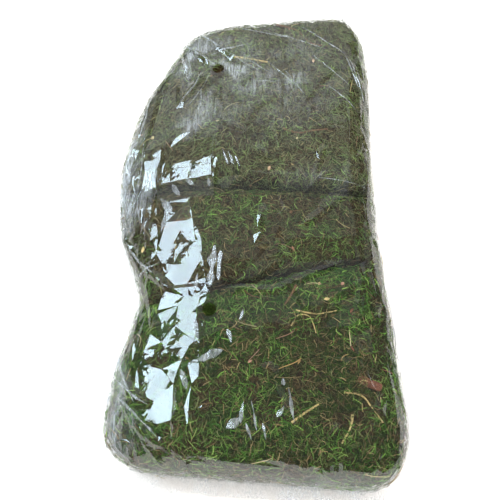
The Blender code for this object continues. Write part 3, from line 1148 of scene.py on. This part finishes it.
@dataclass(frozen=True)
class Fold:
    """A pressed fold lying on the film: a narrow doubled tent that looks white."""

    start: tuple[float, float]  # in plan, from the middle of the bag's box
    end: tuple[float, float]
    width: float = 1.6 * MM
    height: float = 0.9 * MM
    bow: float = 0.0  # how far its middle swings to the left
    pressed: bool = True  # pressed white, or a clear flat tilted to the left


@dataclass
class BagFolds:
    """The sharp white folds on the top of the bag, all in one piece."""

    name: str = "bag_folds"
    station: float = 4 * MM

    def add(self, bm: bmesh.types.BMesh, fold: Fold, film: BVHTree, middle: Vector) -> None:
        """Adds one fold, draped over the film.

        Args:
            bm: the mesh that gets it.
            fold: the fold.
            film: the film it lies on.
            middle: the middle of the bag's box.
        """
        start, end = Vector((*fold.start, 0)), Vector((*fold.end, 0))
        side = Vector((start.y - end.y, end.x - start.x, 0)).normalized()
        count = max(4, round((end - start).length / self.station))
        rings = []
        for k in range(count + 1):
            share = k / count
            bulge = math.sin(math.pi * share)
            at = middle + start.lerp(end, share) - side * (fold.bow * bulge)
            taper = 0.2 + 0.8 * min(1, 4 * share, 4 * (1 - share))
            vary = 0.75 + 0.9 * noise.noise(Vector((at.x, at.y, fold.width)) / (7 * MM))
            size = taper * max(0.25, vary) * fold.width / 2
            wobble = noise.noise(Vector((at.x, at.y, fold.width)) / (9 * MM)) * 0.9 * MM
            ring = []
            ridge = 0.3 if fold.pressed else -0.75
            for across, up in ((-1, -0.12), (ridge, 1.0), (1, -0.12)):
                spot = at + side * (across * size + wobble)
                hit = film.ray_cast(Vector((spot.x, spot.y, 0.2)), Vector((0, 0, -1)))
                if hit[0] is None:
                    hit = film.find_nearest(spot + Vector((0, 0, 40 * MM)))
                rise = fold.height * up * size / (fold.width / 2)
                ring.append(bm.verts.new(hit[0] + hit[1] * (rise + 0.1 * MM)))
            rings.append(ring)
        made = [bm.faces.new(rings[0][::-1]), bm.faces.new(rings[-1])]
        for near, far in zip(rings, rings[1:]):
            for a in range(3):
                b = (a + 1) % 3
                made.append(bm.faces.new((near[a], near[b], far[b], far[a])))
        for face in made:
            face.material_index = 0 if fold.pressed else 1

    def build(self, bag: bpy.types.Object) -> bpy.types.Object:
        """Builds the folds and tells the frame about them.

        Args:
            bag: the film they lie on.

        Returns:
            The folds.
        """
        middle = sum(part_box("bag_film"), Vector()) / 2
        film = search_tree(bag.data)
        bm = bmesh.new()
        for fold in FOLDS:
            self.add(bm, fold, film, Vector((middle.x, middle.y, 0)))
        bmesh.ops.recalc_face_normals(bm, faces=bm.faces)
        return film_piece(bm, self.name, (PRESSED_FILM, GLINT_FILM), self.veil_share)

    def veil_share(self, points: np.ndarray) -> np.ndarray:
        """How milky the folds are at each point, from 0 to 1."""
        return np.clip(0.65 + 0.9 * lump_field(points, 5 * MM, 2.0, 2), 0.1, 1)


@dataclass(frozen=True)
class Veil:
    """A patch of film gathered into small wrinkles, so that it looks milky."""

    centre: tuple[float, float, float]  # from the middle of the bag's box
    half_length: float  # along the bag, before it is turned
    half_width: float
    turn: float  # degrees, anticlockwise seen from above
    strength: float


CLEAR_FILM = FilmFinish("blown polythene film", milk=0.008, veil_milk=0.75, roughness=0.03)
CREASED_FILM = FilmFinish(
    "blown polythene film, creased", milk=0.04, veil_milk=0.5, roughness=0.10
)
GLINT_FILM = FilmFinish("blown polythene film, flat", milk=0.0, veil_milk=0.40, roughness=0.03)
PRESSED_FILM = FilmFinish(
    "blown polythene film, folded double", milk=0.04, veil_milk=0.42, roughness=0.12
)

GLINT_RISE = 0.875 * math.tan(math.radians(14))

VEILS = (
    Veil((-0.004, 0.150, 0.040), 0.110, 0.105, 0, 0.15),  # the head, stretched and dull
    Veil((0.002, 0.136, 0.042), 0.056, 0.017, 58, 0.85),  # over the head's left corner
    Veil((-0.030, 0.162, 0.040), 0.036, 0.012, 50, 0.85),
    Veil((-0.056, 0.150, 0.034), 0.034, 0.011, -8, 0.60),
    Veil((-0.047, 0.085, 0.038), 0.036, 0.008, -22, 0.45),
    Veil((-0.110, 0.030, 0.012), 0.062, 0.015, -6, 0.80),  # the left edge, loose
    Veil((-0.096, 0.004, 0.022), 0.036, 0.014, -20, 0.55),
    Veil((-0.106, -0.150, 0.006), 0.058, 0.014, 8, 0.70),  # and the foot's left edge
    Veil((-0.094, -0.195, 0.006), 0.026, 0.014, 30, 0.6),
    Veil((0.030, -0.238, -0.018), 0.010, 0.120, 0, 0.22),  # the foot end
    Veil((0.121, -0.190, 0.010), 0.030, 0.006, 0, 0.4),  # the foot's right corner
    Veil((0.117, 0.110, 0.030), 0.060, 0.004, -4, 0.25),  # the right edge
    Veil((0.070, 0.014, 0.041), 0.014, 0.040, 0, 0.16),  # over the gap
)


def metres(place: Sequence[float]) -> tuple[float, ...]:
    """A place given in millimetres, in metres."""
    return tuple(v / 1000 for v in place)


def fold(
    start: Sequence[float], end: Sequence[float], width: float, height: float = 0.9,
    bow: float = 0.0,
) -> Fold:
    """A pressed white fold, all in millimetres from the middle of the bag's box."""
    return Fold(metres(start), metres(end), width * MM, height * MM, bow * MM)


def glint(start: Sequence[float], end: Sequence[float], width: float) -> Fold:
    """A clear flat in the film, tilted to the left so that it mirrors a window.

    Args:
        start: one end in plan, in millimetres from the middle of the bag's box.
        end: the other end.
        width: its width in millimetres.

    Returns:
        The fold.
    """
    low, high = sorted((metres(start), metres(end)), key=lambda place: place[1])
    return Fold(low, high, width * MM, width * GLINT_RISE * MM, pressed=False)


def pleat(
    start: Sequence[float], end: Sequence[float], height: float, half_width: float
) -> Pleat:
    """A large fold, all in millimetres from the middle of the bag's box."""
    return Pleat(metres(start), metres(end), height * MM, half_width * MM)


FOLDS = (
    # the head's left corner, folded in
    fold((-63, 206), (-20, 160), 2.0, 1.2),
    fold((-20, 160), (10, 137), 1.2),
    fold((-67, 184), (-32, 146), 2.4, 1.4, 2),
    fold((-69, 176), (-58, 132), 1.8, 1.2),
    fold((-60, 168), (-56, 132), 1.8, 1.2, -1),
    fold((-42, 142), (-64, 103), 1.8, 1.2, -2),
    fold((-36, 138), (-58, 98), 1.6, 1.0, -3),
    fold((-44, 118), (-46, 92), 1.4, 0.8, -1),
    fold((-36, 160), (0, 172), 1.4, 0.8),
    fold((2, 150), (20, 134), 1.1, 0.6),
    fold((18, 150), (46, 118), 1.2, 0.7),
    fold((6, 123), (40, 126), 1.2, 0.7, 2),
    # straight folds over the head
    fold((-6, 193), (42, 180), 1.3, 0.8),
    fold((17, 190), (76, 168), 1.4, 0.8),
    fold((53, 197), (96, 163), 1.4, 0.8),
    fold((34, 140), (54, 106), 1.0, 0.6),
    fold((64, 158), (98, 120), 1.2, 0.7),
    fold((76, 120), (104, 92), 1.2, 0.7),
    # the right edge
    fold((100, 154), (112, 106), 1.8, 1.0),
    fold((95, 161), (106, 122), 1.4, 0.8),
    fold((112, 3), (111, -56), 1.6, 1.0),
    fold((112, -80), (116, -168), 1.8, 1.0, -2),
    # the left edge, where the film stands off the narrower moss
    fold((-96, 126), (-104, 70), 2.4, 1.4, -2),
    fold((-104, 70), (-114, 12), 2.6, 1.4, -1),
    fold((-97, 60), (-102, 0), 1.6, 1.0, -2),
    fold((-98, 30), (-112, -30), 2.0, 1.2),
    fold((-106, -34), (-78, -72), 2.4, 1.4, 2),
    fold((-94, -70), (-70, -62), 1.8, 1.2),
    # over the gap
    fold((62, 14), (104, 9), 1.3, 0.7),
    fold((-66, 30), (-30, 29), 1.1, 0.6),
    # the foot's left side
    fold((-108, -150), (-73, -180), 2.0, 1.2, 2),
    fold((-107, -125), (-83, -178), 1.8, 1.1, 2),
    fold((-99, -171), (-61, -206), 1.8, 1.1),
    # flats that mirror the window
    glint((-27, -54), (-30, -90), 9),
    glint((-22, -58), (-23, -84), 5),
    glint((-35, 17), (-33, 5), 3),
    glint((-22, 43), (-17, 28), 2.6),
    glint((-17, 41), (-12, 27), 2.2),
    glint((-11, 36), (-7, 25), 2),
    glint((-40, -77), (-43, -96), 4),
    glint((-3, -110), (-6, -119), 2.4),
    glint((-40, -117), (-37, -136), 4.5),
    glint((-15, -126), (-12, -137), 3),
    glint((-49, -156), (-44, -171), 5),
    glint((-44, -153), (-18, -142), 6),
    glint((-3, -181), (-5, -196), 3.2),
    glint((3, -180), (7, -201), 2.2),
    glint((26, -184), (21, -192), 3.5),
    glint((30, -170), (33, -196), 2.4),
    glint((-15, -199), (-5, -193), 8),
    glint((-1, -196), (3, -207), 5),
    glint((11, -196), (13, -207), 3),
    glint((26, -164), (27, -169), 3),
    glint((-67, 14), (-59, 0), 5),
    glint((-55, 18), (-47, 10), 6),
    glint((-76, 0), (-65, -17), 8),
    glint((-67, -4), (-73, -36), 6),
)

LARGE_PLEATS = (
    # the head's left corner, folded in
    pleat((-65, 205, 30), (-8, 150, 44), 3.6, 5.0),
    pleat((-66, 182, 30), (-36, 148, 42), 4.0, 5.0),
    pleat((-65, 180, 33), (-56, 132, 36), 4.0, 4.5),
    pleat((-41, 140, 40), (-64, 102, 34), 3.4, 4.5),
    # the right edge
    pleat((100, 154, 36), (113, 110, 32), 2.6, 4.0),
    pleat((95, 161, 38), (107, 122, 37), 2.2, 3.5),
    pleat((112, 3, 34), (112, -56, 34), 2.0, 4.0),
    pleat((113, -74, 32), (118, -170, 30), 3.0, 4.0),
    # the left edge, where the film stands off the narrower moss
    pleat((-96, 121, 20), (-104, 70, 18), 3.6, 5.0),
    pleat((-104, 70, 18), (-120, 10, 10), 4.6, 6.0),
    pleat((-100, 40, 20), (-116, -30, 12), 4.0, 5.0),
    pleat((-112, -20, 6), (-92, -70, 20), 3.6, 5.0),
    pleat((-92, -60, 22), (-60, -90, 35), 3.0, 4.5),
    # over the gaps between the mats
    pleat((-66, -88, 32), (21, -94, 43), 1.6, 4.5),
    pleat((21, -94, 43), (79, -65, 40), 1.6, 4.5),
    # the foot's left side
    pleat((-111, -150, 16), (-73, -180, 30), 3.6, 5.0),
    pleat((-110, -125, 16), (-83, -180, 27), 3.4, 5.0),
    pleat((-99, -171, 22), (-61, -213, 32), 3.6, 5.0),
)


# ---------------------------------------------------------------- studio


@dataclass(frozen=True)
class SoftLight:
    """A rectangular studio light that faces a point on the bale."""

    name: str
    place: tuple[float, float, float]
    size: tuple[float, float]
    radiance: float
    colour: str
    in_gloss: bool  # whether the film mirrors it

    def panes(self, across: int, high: int, bar: float) -> list["SoftLight"]:
        """Splits the light into panes, with dark glazing bars between them.

        Args:
            across: how many panes side by side.
            high: how many panes one above another.
            bar: the bars' width.

        Returns:
            The panes, each a little brighter or dimmer than the next.
        """
        facing = self.facing()
        width, height = self.size[0] / across, self.size[1] / high
        made = []
        for i in range(across):
            for j in range(high):
                shift = Vector(((i + 0.5) * width, (j + 0.5) * height, 0))
                shift -= Vector((self.size[0] / 2, self.size[1] / 2, 0))
                made.append(
                    replace(
                        self, name=f"{self.name}_{i}_{j}",
                        place=tuple(Vector(self.place) + facing @ shift),
                        size=(width - bar, height - bar),
                        radiance=self.radiance * (0.86, 1.1, 0.94)[(i + 2 * j) % 3],
                    )
                )
        return made

    def facing(self) -> Quaternion:
        """The turn that points it at the bale's middle."""
        return (Vector((0, 0, 0.05)) - Vector(self.place)).to_track_quat("-Z", "Y")

    def build(self) -> None:
        """Hangs the light."""
        lamp = bpy.data.lights.new(self.name, "AREA")
        lamp.shape = "RECTANGLE"
        lamp.size, lamp.size_y = self.size
        lamp.energy = self.radiance * math.pi * self.size[0] * self.size[1]
        lamp.color = linear(self.colour)
        holder = bpy.data.objects.new(self.name, lamp)
        holder.location = self.place
        holder.rotation_euler = self.facing().to_euler()
        holder.visible_glossy = self.in_gloss
        bpy.context.scene.collection.objects.link(holder)


def toward(azimuth: float, elevation: float, distance: float) -> tuple[float, float, float]:
    """A point seen from the bale, at degrees from +Y towards -X and degrees up."""
    a, e = math.radians(azimuth), math.radians(elevation)
    return (
        -math.sin(a) * math.cos(e) * distance, math.cos(a) * math.cos(e) * distance,
        math.sin(e) * distance,
    )


@dataclass(frozen=True)
class Studio:
    """White paper, a window to the left, a soft light above, a pale wall behind, a camera."""

    lights: tuple[SoftLight, ...] = (
        SoftLight("sky_panel", (0.1, -0.1, 1.7), (2.2, 2.2), 4.1, "fffaf6", False),
        SoftLight("pale_wall", toward(0, 28, 1.6), (2.6, 1.15), 0.62, "f0f4fa", True),
        SoftLight("pale_ceiling", toward(0, 60, 1.6), (2.6, 0.7), 0.22, "f0f4fa", True),
        SoftLight("front_fill", toward(180, 22, 1.6), (2.2, 0.9), 1.2, "fffaf4", False),
    )
    window: SoftLight = SoftLight("window", toward(66, 47, 1.6), (0.86, 0.62), 12.0, "d8eeff", True)
    camera_place: tuple[float, float, float] = (0.0020, -0.2873, 0.518)
    camera_down: float = math.radians(62)
    field_of_view: float = math.radians(45)
    ambient: float = 0.30
    glazing: tuple[int, int] = (3, 2)  # panes across and high
    glazing_bar: float = 42 * MM

    def build(self) -> None:
        """Builds the studio."""
        scene = bpy.context.scene
        bm = bmesh.new()
        bmesh.ops.create_grid(bm, x_segments=1, y_segments=1, size=4.0)
        bmesh.ops.translate(bm, vec=(0, 0, -0.6 * MM), verts=bm.verts)
        paper = new_piece("paper", to_mesh(bm, "paper"), [PaperFinish().material()])
        for light in (*self.lights, *self.window.panes(*self.glazing, self.glazing_bar)):
            light.build()
        world = bpy.data.worlds.new("studio")
        world.use_nodes = True
        background = world.node_tree.nodes["Background"]
        background.inputs["Color"].default_value = (0.93, 0.96, 1.0, 1.0)
        background.inputs["Strength"].default_value = self.ambient
        scene.world = world
        world.cycles_visibility.glossy = False  # the film mirrors only the lights and the paper
        lens = bpy.data.cameras.new("camera")
        lens.angle = self.field_of_view
        camera = bpy.data.objects.new("camera", lens)
        camera.location = self.camera_place
        camera.rotation_euler = (math.pi / 2 - self.camera_down, 0, 0)
        scene.collection.objects.link(camera)
        scene.camera = camera
        scene.view_settings.view_transform = "Standard"


# ---------------------------------------------------------------- the bale


MATS = (
    # dry= is painted light: the head's shoots are paled most, for the window light and film haze over
    # it.
    MossMat("moss_head", "moss", fresh=0.28, seed=1, dry=0.38),
    MossMat("moss_middle", "moss_old", fresh=0.24, seed=2, dry=0.12),
    MossMat("moss_foot", "moss", fresh=0.62, seed=3),
    MossMat("moss_under_head", "moss", fresh=0.45, seed=4, cover=0.5),
    MossMat("moss_under_foot", "moss_old", fresh=0.40, seed=5, cover=0.5),
)
DRY = {
    "straw": DryFinish("dry grass straw", "8d7440", "c4ad72", "e2d3a2", 0.55, 0.9 * MM),
    "twig": DryFinish("dry twig", "2e2117", "6b4c34", "9b7a58", 0.8, 0.8 * MM),
    "bark": DryFinish("dry bark", "2b1a14", "5f3b2c", "8a5f48", 0.85, 0.9 * MM),
}


def dress_loose_nodes() -> None:
    """Gives the CAD's loose stems and bark their dry finishes."""
    slots = {s["node"]: s["material_slot"] for s in frame["record"]["subparts"]}
    made = {name: finish.material() for name, finish in DRY.items()}
    for node, piece in frame["nodes"].items():
        if slots[node] in made:
            piece.data.materials.clear()
            piece.data.materials.append(made[slots[node]])


def all_moss(skins: dict[str, bpy.types.Mesh]) -> BVHTree:
    """One search tree over every mat's skin."""
    points: list[list[float]] = []
    faces: list[list[int]] = []
    for skin in skins.values():
        start = len(points)
        points += coordinates(skin).tolist()
        faces += [[start + v for v in p.vertices] for p in skin.polygons]
    return BVHTree.FromPolygons(points, faces)


def main() -> None:
    """Builds the bale in order and reports each piece."""
    logging.basicConfig(level=logging.INFO, format="%(name)s: %(message)s")
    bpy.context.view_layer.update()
    Studio().build()
    bag = PolytheneBag()
    smooth = bag.outer_wall()
    wall = search_tree(smooth)
    skins = {mat.node: mat.skin(wall) for mat in MATS}
    moss = all_moss(skins)
    finish = ShootFinish("sheet moss shoots").material()
    for mat in MATS:
        mat.build(moss, skins[mat.node], finish)
    dress_loose_nodes()
    film = bag.build(smooth)
    extras = [
        BagFolds().build(film), WeldedStrip("welded_strip_foot", -1).build(),
        WeldedStrip("welded_strip_head", 1).build(),
    ]
    for extra in extras:
        LOG.info("%s: %d faces", extra.name, len(extra.data.polygons))


if __name__ == "__main__":
    main()
